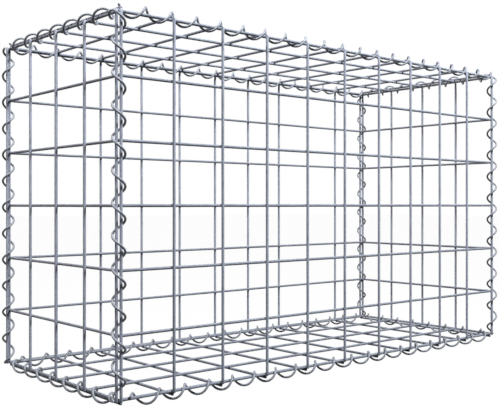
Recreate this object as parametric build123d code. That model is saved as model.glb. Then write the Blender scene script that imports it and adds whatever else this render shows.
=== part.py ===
from build123d import *
from math import cos, pi, sin
import os

# Welded mesh gabion basket, closed and empty, in millimetres.
# X runs along its length, Y from front to back, Z up. It stands on Z = 0, centred on X and Y.

# Mesh
OPENING = 100.0          # wire to wire, both ways
OPENINGS_LONG = 10
OPENINGS_DEEP = 4
OPENINGS_HIGH = 6
MESH_WIRE = 5.0          # diameter
WELD_SINK = 0.8          # depth that crossing wires are pressed into each other
PANEL_GAP = 0.2          # between wires of neighbouring panels
CROSS_TAIL = 1.0         # length of a base or lid cross wire past the middle of the wall's rails
CROSS_INSET = 3.5        # of the base's and lid's outermost cross wires from the end wall's rails
CORNER_INSET = 1.5       # of a front or back panel's end rods, which its rails reach beside the end panel
WIRE_SIDES = 8

# Spiral binders along the twelve edges
SPIRAL_WIRE = 4.0        # diameter
SPIRAL_RADIUS = 10.0     # from the axis to the middle of the wire
SPIRAL_PITCH = 50.0
RUNS_PER_TURN = 12       # straight runs that stand for one round turn
SPIRAL_SIDES = 6
SEAT = 0.3               # left between a spiral's bent-in end and the wire that it grips
LACING_RISE = 1.6        # height of a base or lid spiral's axis past the panel's long wires
LACING_INSET = 1.3       # distance of a base or lid spiral's axis inside the wall's rails

# Runs cut off each end of a spiral where others come near it at the corner
POST_TRIM = 0
BASE_LONG_TRIM = 4
LID_LONG_TRIM = 0
SHORT_TRIM = 2

HALF_LENGTH = OPENINGS_LONG * OPENING / 2
HALF_DEPTH = OPENINGS_DEEP * OPENING / 2
HALF_HEIGHT = OPENINGS_HIGH * OPENING / 2
RADIUS = MESH_WIRE / 2
CROSSING = MESH_WIRE - WELD_SINK                  # between the middles of two welded wires
STACK = MESH_WIRE + PANEL_GAP                     # between the middles of two neighbouring edge wires
CROSS_HEIGHT = HALF_HEIGHT + CROSSING             # the base's and lid's cross wires
RAIL_HEIGHT = CROSS_HEIGHT - STACK                # a wall's lowest and highest rails, against those wires
END_CROSS = HALF_LENGTH - CROSS_INSET             # the base's and lid's outermost cross wires
CORNER_RADIUS = RADIUS / cos(pi / WIRE_SIDES)     # of the wire's many-sided section
GRIP = CORNER_RADIUS + SEAT + SPIRAL_WIRE / 2     # from a gripped wire's middle to the spiral's

LEFT, RIGHT, FRONT, BACK, BOTTOM, TOP = -1, 1, -1, 1, -1, 1
RIGHT_HAND, LEFT_HAND = 1, -1


def positions(count):
    """Middles of the wires across `count` openings, centred on zero."""
    return [(step - count / 2) * OPENING for step in range(count + 1)]


def with_ends(count, end):
    """The same places, with the outermost two moved to `end` from the middle."""
    return [-end, *positions(count)[1:-1], end]


def rod(start, end):
    """Straight wire with a many-sided section, a flat side facing each axis."""
    along = Vector(*end) - Vector(*start)
    side = Vector(0, 0, 1) if abs(along.normalized().Z) < 0.5 else Vector(1, 0, 0)
    section = RegularPolygon(RADIUS, WIRE_SIDES, major_radius=False, rotation=180 / WIRE_SIDES)
    return extrude(Plane(origin=start, x_dir=side, z_dir=along) * section, along.length)


def long_wall(side):
    """Front or back panel: rails on the inside, rods on the outside."""
    rail_end = HALF_LENGTH - RADIUS - PANEL_GAP
    rod_end = RAIL_HEIGHT + RADIUS
    rail_y, rod_y = side * HALF_DEPTH, side * (HALF_DEPTH + CROSSING)
    levels = with_ends(OPENINGS_HIGH, RAIL_HEIGHT)
    rails = [rod((-rail_end, rail_y, z), (rail_end, rail_y, z)) for z in levels]
    places = with_ends(OPENINGS_LONG, HALF_LENGTH - CORNER_INSET)
    rods = [rod((x, rod_y, -rod_end), (x, rod_y, rod_end)) for x in places]
    return rails[0].fuse(*rails[1:], *rods)


def end_wall(side):
    """Left or right end panel: rails on the inside, rods on the outside."""
    rail_end = HALF_DEPTH + CROSSING - RADIUS - PANEL_GAP
    rod_end = RAIL_HEIGHT + RADIUS
    rail_x, rod_x = side * HALF_LENGTH, side * (HALF_LENGTH + CROSSING)
    levels = with_ends(OPENINGS_HIGH, RAIL_HEIGHT)
    rails = [rod((rail_x, -rail_end, z), (rail_x, rail_end, z)) for z in levels]
    rods = [rod((rod_x, y, -rod_end), (rod_x, y, rod_end)) for y in positions(OPENINGS_DEEP)]
    return rails[0].fuse(*rails[1:], *rods)


def flat_panel(side):
    """Base or lid: long wires nested between the walls' rails, cross wires on the outside."""
    end = HALF_LENGTH - RADIUS - PANEL_GAP
    tail = HALF_DEPTH + CROSS_TAIL
    long_z, cross_z = side * HALF_HEIGHT, side * CROSS_HEIGHT
    long_wires = [rod((-end, y, long_z), (end, y, long_z)) for y in with_ends(OPENINGS_DEEP, HALF_DEPTH - STACK)]
    cross = [rod((x, -tail, cross_z), (x, tail, cross_z)) for x in with_ends(OPENINGS_LONG, END_CROSS)]
    return long_wires[0].fuse(*long_wires[1:], *cross)


def bent_wire(points):
    """Wire of straight runs with mitred corners."""
    section = Plane(origin=points[0], z_dir=points[1] - points[0]) * RegularPolygon(SPIRAL_WIRE / 2, SPIRAL_SIDES)
    return sweep(section, path=Polyline(*points), transition=Transition.RIGHT)


def spiral(middle, along, outward, edge, hand, grip, trim):
    """Spiral binder round an edge, as long as the edge apart from `trim` runs at each end.

    Its axis runs `along` the edge through `middle`, where its strand faces `outward`.
    Each end is bent in against the nearer of the `grip` wires.
    """
    step = SPIRAL_PITCH / RUNS_PER_TURN
    across = along.cross(outward)

    def facing(place):
        turn = hand * 2 * pi * place / SPIRAL_PITCH
        return outward * cos(turn) + across * sin(turn)

    def gripping(place):
        way = facing(place)
        wire = max((Vector(*wire) - middle for wire in grip), key=way.dot)
        return middle + along * place + wire + way * GRIP

    runs = round(edge / SPIRAL_PITCH) * RUNS_PER_TURN // 2 - trim
    first, *inner, last = [step * count for count in range(-runs, runs + 1)]
    turns = [middle + along * place + facing(place) * SPIRAL_RADIUS for place in inner]
    return bent_wire([gripping(first), *turns, gripping(last)])


def post_spiral(side_x, side_y, hand):
    """Spiral round the upright edge where a long wall meets an end wall."""
    wall_rod = (side_x * (HALF_LENGTH - CORNER_INSET), side_y * (HALF_DEPTH + CROSSING), 0)
    end_rod = (side_x * (HALF_LENGTH + CROSSING), side_y * HALF_DEPTH, 0)
    middle = (Vector(*wall_rod) + Vector(*end_rod)) / 2
    return spiral(middle, Vector(0, 0, 1), Vector(side_x, 0, 0), 2 * HALF_HEIGHT, hand,
                  [wall_rod, end_rod], POST_TRIM)


def long_spiral(side_y, side_z, hand):
    """Spiral along the front or back edge of the base or lid."""
    rail = (0, side_y * HALF_DEPTH, side_z * RAIL_HEIGHT)
    long_wire = (0, side_y * (HALF_DEPTH - STACK), side_z * HALF_HEIGHT)
    cross_wire = (0, side_y * HALF_DEPTH, side_z * CROSS_HEIGHT)
    middle = Vector(0, side_y * (HALF_DEPTH - LACING_INSET), side_z * (HALF_HEIGHT + LACING_RISE))
    return spiral(middle, Vector(1, 0, 0), Vector(0, 0, side_z), 2 * HALF_LENGTH, hand,
                  [rail, long_wire, cross_wire], LID_LONG_TRIM if side_z == TOP else BASE_LONG_TRIM)


def short_spiral(side_x, side_z, hand):
    """Spiral along the left or right edge of the base or lid."""
    rail = (side_x * HALF_LENGTH, 0, side_z * RAIL_HEIGHT)
    cross_wire = (side_x * END_CROSS, 0, side_z * CROSS_HEIGHT)
    middle = Vector(side_x * (HALF_LENGTH - LACING_INSET), 0, side_z * (HALF_HEIGHT + LACING_RISE))
    return spiral(middle, Vector(0, 1, 0), Vector(0, 0, side_z), 2 * HALF_DEPTH, hand,
                  [rail, cross_wire], SHORT_TRIM)


pieces = {
    "front_panel": long_wall(FRONT),
    "back_panel": long_wall(BACK),
    "left_end_panel": end_wall(LEFT),
    "right_end_panel": end_wall(RIGHT),
    "base_panel": flat_panel(BOTTOM),
    "lid_panel": flat_panel(TOP),
    "front_left_post_spiral": post_spiral(LEFT, FRONT, LEFT_HAND),
    "front_right_post_spiral": post_spiral(RIGHT, FRONT, RIGHT_HAND),
    "back_left_post_spiral": post_spiral(LEFT, BACK, RIGHT_HAND),
    "back_right_post_spiral": post_spiral(RIGHT, BACK, LEFT_HAND),
    "base_front_spiral": long_spiral(FRONT, BOTTOM, LEFT_HAND),
    "base_back_spiral": long_spiral(BACK, BOTTOM, LEFT_HAND),
    "base_left_spiral": short_spiral(LEFT, BOTTOM, RIGHT_HAND),
    "base_right_spiral": short_spiral(RIGHT, BOTTOM, RIGHT_HAND),
    "lid_front_spiral": long_spiral(FRONT, TOP, LEFT_HAND),
    "lid_back_spiral": long_spiral(BACK, TOP, LEFT_HAND),
    "lid_left_spiral": short_spiral(LEFT, TOP, LEFT_HAND),
    "lid_right_spiral": short_spiral(RIGHT, TOP, LEFT_HAND),
}

os.makedirs("parts", exist_ok=True)
ground = min(piece.bounding_box().min.Z for piece in pieces.values())
for name, piece in pieces.items():
    export_step(Pos(0, 0, -ground) * piece, f"parts/{name}.step")
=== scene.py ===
import math
import random
import bmesh
import bpy
from mathutils import Matrix, Vector, noise


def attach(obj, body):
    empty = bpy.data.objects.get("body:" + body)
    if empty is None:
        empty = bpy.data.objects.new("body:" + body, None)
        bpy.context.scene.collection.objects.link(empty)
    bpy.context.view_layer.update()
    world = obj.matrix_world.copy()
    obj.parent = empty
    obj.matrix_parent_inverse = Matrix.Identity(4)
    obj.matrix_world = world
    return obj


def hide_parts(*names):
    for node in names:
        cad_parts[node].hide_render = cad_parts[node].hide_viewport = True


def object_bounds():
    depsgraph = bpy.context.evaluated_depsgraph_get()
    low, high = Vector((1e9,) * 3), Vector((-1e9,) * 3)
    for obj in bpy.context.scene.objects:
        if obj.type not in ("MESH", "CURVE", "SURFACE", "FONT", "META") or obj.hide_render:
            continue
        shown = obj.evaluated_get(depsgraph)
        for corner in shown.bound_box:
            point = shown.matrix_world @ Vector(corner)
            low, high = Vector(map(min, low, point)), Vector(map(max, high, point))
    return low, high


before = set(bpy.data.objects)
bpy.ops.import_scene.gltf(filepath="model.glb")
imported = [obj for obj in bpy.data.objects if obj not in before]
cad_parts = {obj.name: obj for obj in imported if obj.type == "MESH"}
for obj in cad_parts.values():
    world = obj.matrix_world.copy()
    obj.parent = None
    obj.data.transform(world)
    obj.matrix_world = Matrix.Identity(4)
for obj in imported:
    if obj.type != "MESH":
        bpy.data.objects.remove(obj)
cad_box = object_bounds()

# Galvanised mesh basket laced with spiral binders, in metres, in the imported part's frame.

# Mesh
OPENING = 0.100
OPENINGS_LONG, OPENINGS_DEEP, OPENINGS_HIGH = 10, 4, 6
WIRE_RADIUS = 0.0025
CROSSING = 0.0042           # between the middles of two welded wires
PANEL_GAP = 0.0002          # between wires of neighbouring panels
CROSS_TAIL = 0.0010         # of a base or lid cross wire past the middle of the wall's rails
CROSS_INSET = 0.0035        # of the base's and lid's outermost cross wires from the end wall's rails
CORNER_INSET = 0.0015       # of a long wall's end rods from the end wall's rails

# Straight wires are drawn slightly uneven, and their cut ends are rounded off
WANDER = 0.00022            # each way across the wire, at most
WANDER_SCALE = 9.0
SIDE_SHIFT, UP_SHIFT = 3, 7     # in the noise, so that the two ways across differ
ROUNDING = 0.0007           # length of a rounded end
ROUNDING_PLACES = (0, 0.35, 1)      # sections through it, as shares of its length
ROUNDING_RADII = (0.72, 0.92, 1)    # the same sections' radii, as shares of the wire's

# Beads of metal that the welds squeeze out between crossing wires
WELD_RADIUS = 0.0030
WELD_HALF_HEIGHT = 0.0014
WELD_SIZES = (0.88, 1.08)   # smallest and largest share of that radius
WELD_SEED = 7

# Spiral binders
SPIRAL_WIRE_RADIUS = 0.002
SPIRAL_RADIUS = 0.010
SPIRAL_PITCH = 0.050
LACING_RISE = 0.0016        # height of a base or lid spiral's axis past the panel's long wires
LACING_INSET = 0.0013       # of the same axis inside the wall's rails
SEAT = 0.0003               # left between a spiral's end and the wire that it is bent against
TIP_RADIUS = 0.85 * SPIRAL_WIRE_RADIUS

# Lengths cut off each end of a spiral where others come near it at the corner
POST_TRIM = 0
BASE_LONG_TRIM = SPIRAL_PITCH / 3
LID_LONG_TRIM = 0
SHORT_TRIM = SPIRAL_PITCH / 6

# Fineness of the meshes
WIRE_SIDES = 16
WIRE_STEP = 0.0125          # along a straight wire
WELD_SUBDIVISIONS = 2
SPIRAL_SIDES = 14
STEPS_PER_TURN = 40
END_STEPS = 8               # over which a spiral's end bends in

# Zinc
SPANGLE_SCALE = 260
SPANGLE_SHARE = 0.35        # in the pattern of the colour, the rest being cloud
CLOUD_SCALE = 22
CLOUD_DETAIL = 5
CLOUD_ROUGHNESS = 0.6
DARKEST, LIGHTEST = 0.25, 0.75      # of the pattern, past which the colour stays the same
SMOOTHER, DULLER = 0.07, 0.10       # most that the roughness goes down and up
MARK_SCALE = 900
MARK_DETAIL = 3
MARK_STRENGTH = 0.25
MARK_DEPTH = 0.0002

# Studio
WHITE = (1, 1, 1, 1)
FLOOR_SIZE = 40.0
FLOOR_COLOUR = (0.95, 0.95, 0.95, 1)
FLOOR_GLOW = 0.975          # share of plain white in the floor as it is seen
DIM_FLOOR_COLOUR = (0.01, 0.01, 0.01, 1)    # to the rays that light the basket from below
SKY_COLOUR = (0.80, 0.84, 0.92, 1)
SKY_STRENGTH = 0.05
LAMP_SIZE = 0.45
LAMP_AIM = Vector((0, 0, 0.31))

HALF_LENGTH = OPENINGS_LONG * OPENING / 2
HALF_DEPTH = OPENINGS_DEEP * OPENING / 2
HALF_HEIGHT = OPENINGS_HIGH * OPENING / 2
STACK = 2 * WIRE_RADIUS + PANEL_GAP     # between the middles of two neighbouring edge wires
CROSS_HEIGHT = HALF_HEIGHT + CROSSING   # of the base's and lid's cross wires
RAIL_HEIGHT = CROSS_HEIGHT - STACK      # of a wall's lowest and highest rails
END_CROSS = HALF_LENGTH - CROSS_INSET   # of the base's and lid's outermost cross wires

# Place in the frame of the basket's middle, from which all wires and welds are measured
MIDDLE = Vector((0, 0, sum(corner.z for corner in cad_box) / 2))

# Camera, level and at about the height of the basket's middle
FOCAL = 806.0               # in pixels of a picture of the width below
PICTURE_WIDTH = 499
SENSOR_WIDTH = 36.0
CAMERA_PLACE = Vector((-1.1453, -1.2723, 0.00096)) + MIDDLE
CAMERA_TURN = math.radians(40.25)

LEFT, RIGHT, FRONT, BACK, BOTTOM, TOP = -1, 1, -1, 1, -1, 1
RIGHT_HAND, LEFT_HAND = 1, -1
X_AXIS, Y_AXIS, Z_AXIS = Vector((1, 0, 0)), Vector((0, 1, 0)), Vector((0, 0, 1))

random.seed(WELD_SEED)


def positions(count):
    """Middles of the wires across `count` openings, centred on zero."""
    return [(step - count / 2) * OPENING for step in range(count + 1)]


def with_ends(count, end):
    """The same places, with the outermost two moved to `end` from the middle."""
    return [-end, *positions(count)[1:-1], end]


def ring_frames(points):
    """A pair of directions across the wire at each point, carried along without twist."""
    frames = []
    side = None
    for place, point in enumerate(points):
        before = points[max(place - 1, 0)]
        after = points[min(place + 1, len(points) - 1)]
        along = (after - before).normalized()
        if side is None:
            side = along.orthogonal().normalized()
        side = (side - along * side.dot(along)).normalized()
        frames.append((side, along.cross(side)))
    return frames


def add_wire(mesh, points, radii, sides):
    """Round wire through the points, closed by a disc at each end."""
    angles = [2 * math.pi * corner / sides for corner in range(sides)]
    rings = []
    for point, radius, (side, up) in zip(points, radii, ring_frames(points)):
        ways = [side * math.cos(angle) + up * math.sin(angle) for angle in angles]
        rings.append([mesh.verts.new(point + way * radius) for way in ways])
    for lower, upper in zip(rings, rings[1:]):
        for corner in range(sides):
            following = (corner + 1) % sides
            mesh.faces.new((lower[corner], lower[following], upper[following], upper[corner]))
    mesh.faces.new(list(reversed(rings[0])))
    mesh.faces.new(rings[-1])


def add_straight_wire(mesh, start, end):
    """Slightly uneven wire with rounded ends, from `start` to `end`."""
    start, end = Vector(start) + MIDDLE, Vector(end) + MIDDLE
    length = (end - start).length
    along = (end - start) / length
    side = along.orthogonal().normalized()
    up = along.cross(side)

    steps = max(2, round(length / WIRE_STEP))
    inner = [length * step / steps for step in range(1, steps)]
    rounded = [ROUNDING * share for share in ROUNDING_PLACES]
    places = [*rounded, *inner, *[length - place for place in reversed(rounded)]]
    end_radii = [WIRE_RADIUS * share for share in ROUNDING_RADII]
    radii = [*end_radii, *[WIRE_RADIUS] * len(inner), *reversed(end_radii)]

    points = []
    for place in places:
        point = start + along * place
        drift = WANDER * math.sin(math.pi * place / length)
        across = noise.noise(point * WANDER_SCALE + side * SIDE_SHIFT)
        rise = noise.noise(point * WANDER_SCALE + up * UP_SHIFT)
        points.append(point + (side * across + up * rise) * drift)
    add_wire(mesh, points, radii, WIRE_SIDES)


def wire_mesh(wires):
    """New mesh of straight wires, each given by its two ends."""
    mesh = bmesh.new()
    for start, end in wires:
        add_straight_wire(mesh, start, end)
    return mesh


def add_welds(mesh, places, axis):
    """Flattened beads between crossing wires, `axis` pointing from one wire to the other."""
    turn = axis.to_track_quat("Z", "X").to_matrix().to_4x4()
    for place in places:
        radius = WELD_RADIUS * random.uniform(*WELD_SIZES)
        shape = Matrix.Diagonal((radius, radius, WELD_HALF_HEIGHT, 1))
        matrix = Matrix.Translation(Vector(place) + MIDDLE) @ turn @ shape
        bmesh.ops.create_icosphere(mesh, subdivisions=WELD_SUBDIVISIONS, radius=1, matrix=matrix)


def add_object(name, data):
    """New object of that data, in the scene."""
    holder = bpy.data.objects.new(name, data)
    bpy.context.scene.collection.objects.link(holder)
    return holder


def mesh_object(name, mesh, material):
    """New object of a finished mesh, in the scene."""
    data = bpy.data.meshes.new(name)
    mesh.to_mesh(data)
    mesh.free()
    data.materials.append(material)
    return add_object(name, data)


def finish_piece(name, mesh, material, node):
    """Makes the object, shades it smooth and puts it in its CAD node's place."""
    piece = mesh_object(name, mesh, material)
    for face in piece.data.polygons:
        face.use_smooth = True
    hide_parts(node)
    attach(piece, "root")


def finish_wall(node, rails, rods, welds, axis):
    """Makes one piece of the rails with their welds and one of the rods; the rails take the zinc with
    painted shade, darker than the rods'.
    """
    rail_mesh = wire_mesh(rails)
    add_welds(rail_mesh, welds, axis)
    finish_piece(node + "_rails", rail_mesh, zinc_with_painted_shade, node)
    finish_piece(node + "_rods", wire_mesh(rods), rod_zinc, node)


def long_wall(node, side):
    """Front or back panel: rails inside, rods outside."""
    rail_end = HALF_LENGTH - WIRE_RADIUS - PANEL_GAP
    rod_end = RAIL_HEIGHT + WIRE_RADIUS
    rail_y, rod_y = side * HALF_DEPTH, side * (HALF_DEPTH + CROSSING)
    levels = with_ends(OPENINGS_HIGH, RAIL_HEIGHT)
    places = with_ends(OPENINGS_LONG, HALF_LENGTH - CORNER_INSET)
    rails = [((-rail_end, rail_y, z), (rail_end, rail_y, z)) for z in levels]
    rods = [((x, rod_y, -rod_end), (x, rod_y, rod_end)) for x in places]
    welds = [(x, (rail_y + rod_y) / 2, z) for x in places for z in levels]
    finish_wall(node, rails, rods, welds, Y_AXIS)


def end_wall(node, side):
    """Left or right end panel: rails inside, rods outside."""
    rail_end = HALF_DEPTH + CROSSING - WIRE_RADIUS - PANEL_GAP
    rod_end = RAIL_HEIGHT + WIRE_RADIUS
    rail_x, rod_x = side * HALF_LENGTH, side * (HALF_LENGTH + CROSSING)
    levels = with_ends(OPENINGS_HIGH, RAIL_HEIGHT)
    places = positions(OPENINGS_DEEP)
    rails = [((rail_x, -rail_end, z), (rail_x, rail_end, z)) for z in levels]
    rods = [((rod_x, y, -rod_end), (rod_x, y, rod_end)) for y in places]
    welds = [((rail_x + rod_x) / 2, y, z) for y in places for z in levels]
    finish_wall(node, rails, rods, welds, X_AXIS)


def flat_panel(node, side):
    """Base or lid: long wires nested between the walls' rails, cross wires outside."""
    end = HALF_LENGTH - WIRE_RADIUS - PANEL_GAP
    tail = HALF_DEPTH + CROSS_TAIL
    long_z, cross_z = side * HALF_HEIGHT, side * CROSS_HEIGHT
    long_places = with_ends(OPENINGS_DEEP, HALF_DEPTH - STACK)
    cross_places = with_ends(OPENINGS_LONG, END_CROSS)
    long_wires = [((-end, y, long_z), (end, y, long_z)) for y in long_places]
    cross_wires = [((x, -tail, cross_z), (x, tail, cross_z)) for x in cross_places]
    welds = [(x, y, (long_z + cross_z) / 2) for x in cross_places for y in long_places]
    mesh = wire_mesh(long_wires + cross_wires)
    add_welds(mesh, welds, Z_AXIS)
    # The base's and lid's level wires take the rails' darker zinc, painted shade for their shaded
    # undersides
    finish_piece(node + "_wires", mesh, zinc_with_painted_shade, node)


def spiral(node, middle, along, outward, edge, hand, grip, trim):
    """Spiral binder round an edge, as long as the edge apart from `trim` at each end.

    Its axis runs `along` the edge through `middle`, where its strand faces `outward`.
    Each end is bent in against the nearer of the `grip` wires.
    """
    across = along.cross(outward)
    half = round(edge / SPIRAL_PITCH) * SPIRAL_PITCH / 2 - trim
    steps = round(2 * half / SPIRAL_PITCH * STEPS_PER_TURN)
    places = [2 * half * step / steps - half for step in range(steps + 1)]
    turns = [hand * 2 * math.pi * place / SPIRAL_PITCH for place in places]
    ways = [outward * math.cos(turn) + across * math.sin(turn) for turn in turns]
    points = [middle + along * place + way * SPIRAL_RADIUS for place, way in zip(places, ways)]
    for end, inward in ((0, 1), (steps, -1)):
        way = ways[end]
        wire = max((spot - middle for spot in grip), key=way.dot)
        held = wire + way * (WIRE_RADIUS + SEAT + SPIRAL_WIRE_RADIUS)
        pull = held - way * SPIRAL_RADIUS
        for step in range(END_STEPS):
            share = (1 - step / END_STEPS) ** 2
            points[end + inward * step] += pull * share
    radii = [TIP_RADIUS, *[SPIRAL_WIRE_RADIUS] * (steps - 1), TIP_RADIUS]
    mesh = bmesh.new()
    add_wire(mesh, [point + MIDDLE for point in points], radii, SPIRAL_SIDES)
    finish_piece(node + "_wire", mesh, spiral_zinc, node)


def post_spiral(node, side_x, side_y, hand):
    """Spiral round the upright edge where a long wall meets an end wall."""
    wall_rod = Vector((side_x * (HALF_LENGTH - CORNER_INSET), side_y * (HALF_DEPTH + CROSSING), 0))
    end_rod = Vector((side_x * (HALF_LENGTH + CROSSING), side_y * HALF_DEPTH, 0))
    middle = (wall_rod + end_rod) / 2
    spiral(node, middle, Z_AXIS, side_x * X_AXIS, 2 * HALF_HEIGHT, hand,
           [wall_rod, end_rod], POST_TRIM)


def long_spiral(node, side_y, side_z, hand):
    """Spiral along the front or back edge of the base or lid."""
    rail = Vector((0, side_y * HALF_DEPTH, side_z * RAIL_HEIGHT))
    long_wire = Vector((0, side_y * (HALF_DEPTH - STACK), side_z * HALF_HEIGHT))
    cross_wire = Vector((0, side_y * HALF_DEPTH, side_z * CROSS_HEIGHT))
    middle = Vector((0, side_y * (HALF_DEPTH - LACING_INSET), side_z * (HALF_HEIGHT + LACING_RISE)))
    spiral(node, middle, X_AXIS, side_z * Z_AXIS, 2 * HALF_LENGTH, hand,
           [rail, long_wire, cross_wire], LID_LONG_TRIM if side_z == TOP else BASE_LONG_TRIM)


def short_spiral(node, side_x, side_z, hand):
    """Spiral along the left or right edge of the base or lid."""
    rail = Vector((side_x * HALF_LENGTH, 0, side_z * RAIL_HEIGHT))
    cross_wire = Vector((side_x * END_CROSS, 0, side_z * CROSS_HEIGHT))
    middle = Vector((side_x * (HALF_LENGTH - LACING_INSET), 0, side_z * (HALF_HEIGHT + LACING_RISE)))
    spiral(node, middle, Y_AXIS, side_z * Z_AXIS, 2 * HALF_DEPTH, hand,
           [rail, cross_wire], SHORT_TRIM)


def set_inputs(tree, node, inputs):
    """Links each input to the output given for it, or sets it to the value given.

    An input goes by its name, or by its number where the node has two of that name.
    """
    for name, source in inputs.items():
        if isinstance(source, bpy.types.NodeSocket):
            tree.links.new(source, node.inputs[name])
        else:
            node.inputs[name].default_value = source


def add_node(tree, kind, inputs):
    """New shader node with those inputs."""
    node = tree.nodes.new("ShaderNode" + kind)
    set_inputs(tree, node, inputs)
    return node


def zinc(name, dark, light, roughness, gloss):
    """Galvanised steel wire: soft spangle, clouds of duller zinc and fine drawing marks."""
    material = bpy.data.materials.new(name)
    material.use_nodes = True
    tree = material.node_tree
    place = tree.nodes.new("ShaderNodeTexCoord").outputs["Object"]

    spangle = add_node(tree, "TexVoronoi", {"Vector": place, "Scale": SPANGLE_SCALE})
    cloud = add_node(tree, "TexNoise", {
        "Vector": place,
        "Scale": CLOUD_SCALE,
        "Detail": CLOUD_DETAIL,
        "Roughness": CLOUD_ROUGHNESS,
    })
    pattern = add_node(tree, "Mix", {
        "Factor": SPANGLE_SHARE,
        "A": cloud.outputs["Fac"],
        "B": spangle.outputs["Color"],
    })
    tint = add_node(tree, "ValToRGB", {"Fac": pattern.outputs["Result"]})
    for stop, position, colour in zip(tint.color_ramp.elements, (DARKEST, LIGHTEST), (dark, light)):
        stop.position = position
        stop.color = (*colour, 1)

    dullness = add_node(tree, "MapRange", {
        "Value": cloud.outputs["Fac"],
        "To Min": roughness - SMOOTHER,
        "To Max": roughness + DULLER,
    })
    marks = add_node(tree, "TexNoise", {"Vector": place, "Scale": MARK_SCALE, "Detail": MARK_DETAIL})
    bump = add_node(tree, "Bump", {
        "Height": marks.outputs["Fac"],
        "Strength": MARK_STRENGTH,
        "Distance": MARK_DEPTH,
    })
    set_inputs(tree, tree.nodes["Principled BSDF"], {
        "Base Color": tint.outputs["Color"],
        "Roughness": dullness.outputs["Result"],
        "Specular IOR Level": gloss,
        "Normal": bump.outputs["Normal"],
    })
    return material


def shows_as_background(tree):
    """1 for the rays that see the scene or its reflections, 0 for those that light it."""
    path = tree.nodes.new("ShaderNodeLightPath")
    shown = path.outputs["Is Camera Ray"]
    for ray in ("Is Glossy Ray", "Is Transmission Ray"):
        either = add_node(tree, "Math", {0: shown, 1: path.outputs[ray]})
        either.operation = "MAXIMUM"
        shown = either.outputs[0]
    return shown


def mixed(tree, factor, first, second):
    """Shader that goes from the first to the second as the factor goes from 0 to 1."""
    return add_node(tree, "MixShader", {"Fac": factor, 1: first, 2: second}).outputs["Shader"]


def studio_floor():
    """Pale floor that keeps the basket's shadow and throws little light up under it."""
    material = bpy.data.materials.new("studio_floor")
    material.use_nodes = True
    tree = material.node_tree
    tree.nodes.remove(tree.nodes["Principled BSDF"])
    pale = add_node(tree, "BsdfDiffuse", {"Color": FLOOR_COLOUR}).outputs["BSDF"]
    glow = add_node(tree, "Emission", {"Color": WHITE}).outputs["Emission"]
    dim = add_node(tree, "BsdfDiffuse", {"Color": DIM_FLOOR_COLOUR}).outputs["BSDF"]
    seen = mixed(tree, FLOOR_GLOW, pale, glow)
    surface = mixed(tree, shows_as_background(tree), dim, seen)
    set_inputs(tree, tree.nodes["Material Output"], {"Surface": surface})

    mesh = bmesh.new()
    bmesh.ops.create_grid(mesh, x_segments=1, y_segments=1, size=FLOOR_SIZE / 2)
    mesh_object("studio_floor", mesh, material)


def studio_world():
    """White to the eye, and a soft grey light on the basket."""
    world = bpy.data.worlds.new("studio")
    bpy.context.scene.world = world
    world.use_nodes = True
    tree = world.node_tree
    sky = tree.nodes["Background"]
    set_inputs(tree, sky, {"Color": SKY_COLOUR, "Strength": SKY_STRENGTH})
    white = add_node(tree, "Background", {"Color": WHITE, "Strength": 1.0})
    surface = mixed(tree, shows_as_background(tree), sky.outputs["Background"], white.outputs["Background"])
    set_inputs(tree, tree.nodes["World Output"], {"Surface": surface})


def lamp(name, place, power, colour):
    """Square lamp that points at the basket."""
    data = bpy.data.lights.new(name, "AREA")
    data.color = colour
    data.size = LAMP_SIZE
    data.energy = power
    holder = add_object(name, data)
    holder.location = place
    holder.rotation_euler = (LAMP_AIM - Vector(place)).to_track_quat("-Z", "Y").to_euler()


def studio_camera():
    """Level camera, turned to the right of straight ahead."""
    data = bpy.data.cameras.new("camera")
    data.sensor_width = SENSOR_WIDTH
    data.lens = FOCAL / PICTURE_WIDTH * SENSOR_WIDTH
    holder = add_object("camera", data)
    holder.location = CAMERA_PLACE
    holder.rotation_euler = (math.pi / 2, 0, -CAMERA_TURN)
    bpy.context.scene.camera = holder


# The level wires show darker than the upright rods: their zinc is painted shade, a darker copy of the rods'
# zinc standing in for their shaded undersides
rod_zinc = zinc("rod_zinc", dark=(0.34, 0.355, 0.42), light=(0.55, 0.57, 0.655),
                roughness=0.40, gloss=0.12)
zinc_with_painted_shade = zinc("zinc_with_painted_shade", dark=(0.23, 0.24, 0.28), light=(0.38, 0.395, 0.45),
                 roughness=0.40, gloss=0.12)
spiral_zinc = zinc("spiral_zinc", dark=(0.22, 0.23, 0.26), light=(0.40, 0.415, 0.46),
                   roughness=0.30, gloss=0.30)

long_wall("front_panel", FRONT)
long_wall("back_panel", BACK)
end_wall("left_end_panel", LEFT)
end_wall("right_end_panel", RIGHT)
flat_panel("base_panel", BOTTOM)
flat_panel("lid_panel", TOP)

post_spiral("front_left_post_spiral", LEFT, FRONT, LEFT_HAND)
post_spiral("front_right_post_spiral", RIGHT, FRONT, RIGHT_HAND)
post_spiral("back_left_post_spiral", LEFT, BACK, RIGHT_HAND)
post_spiral("back_right_post_spiral", RIGHT, BACK, LEFT_HAND)
long_spiral("base_front_spiral", FRONT, BOTTOM, LEFT_HAND)
long_spiral("base_back_spiral", BACK, BOTTOM, LEFT_HAND)
long_spiral("lid_front_spiral", FRONT, TOP, LEFT_HAND)
long_spiral("lid_back_spiral", BACK, TOP, LEFT_HAND)
short_spiral("base_left_spiral", LEFT, BOTTOM, RIGHT_HAND)
short_spiral("base_right_spiral", RIGHT, BOTTOM, RIGHT_HAND)
short_spiral("lid_left_spiral", LEFT, TOP, LEFT_HAND)
short_spiral("lid_right_spiral", RIGHT, TOP, LEFT_HAND)

studio_floor()
studio_world()
lamp("key", place=(0.28, -1.35, 2.05), power=68, colour=(0.88, 0.94, 1.0))
lamp("left", place=(-1.3, -0.22, 2.05), power=31, colour=(1.0, 1.0, 1.0))
studio_camera()
bpy.context.scene.view_settings.view_transform = "Standard"
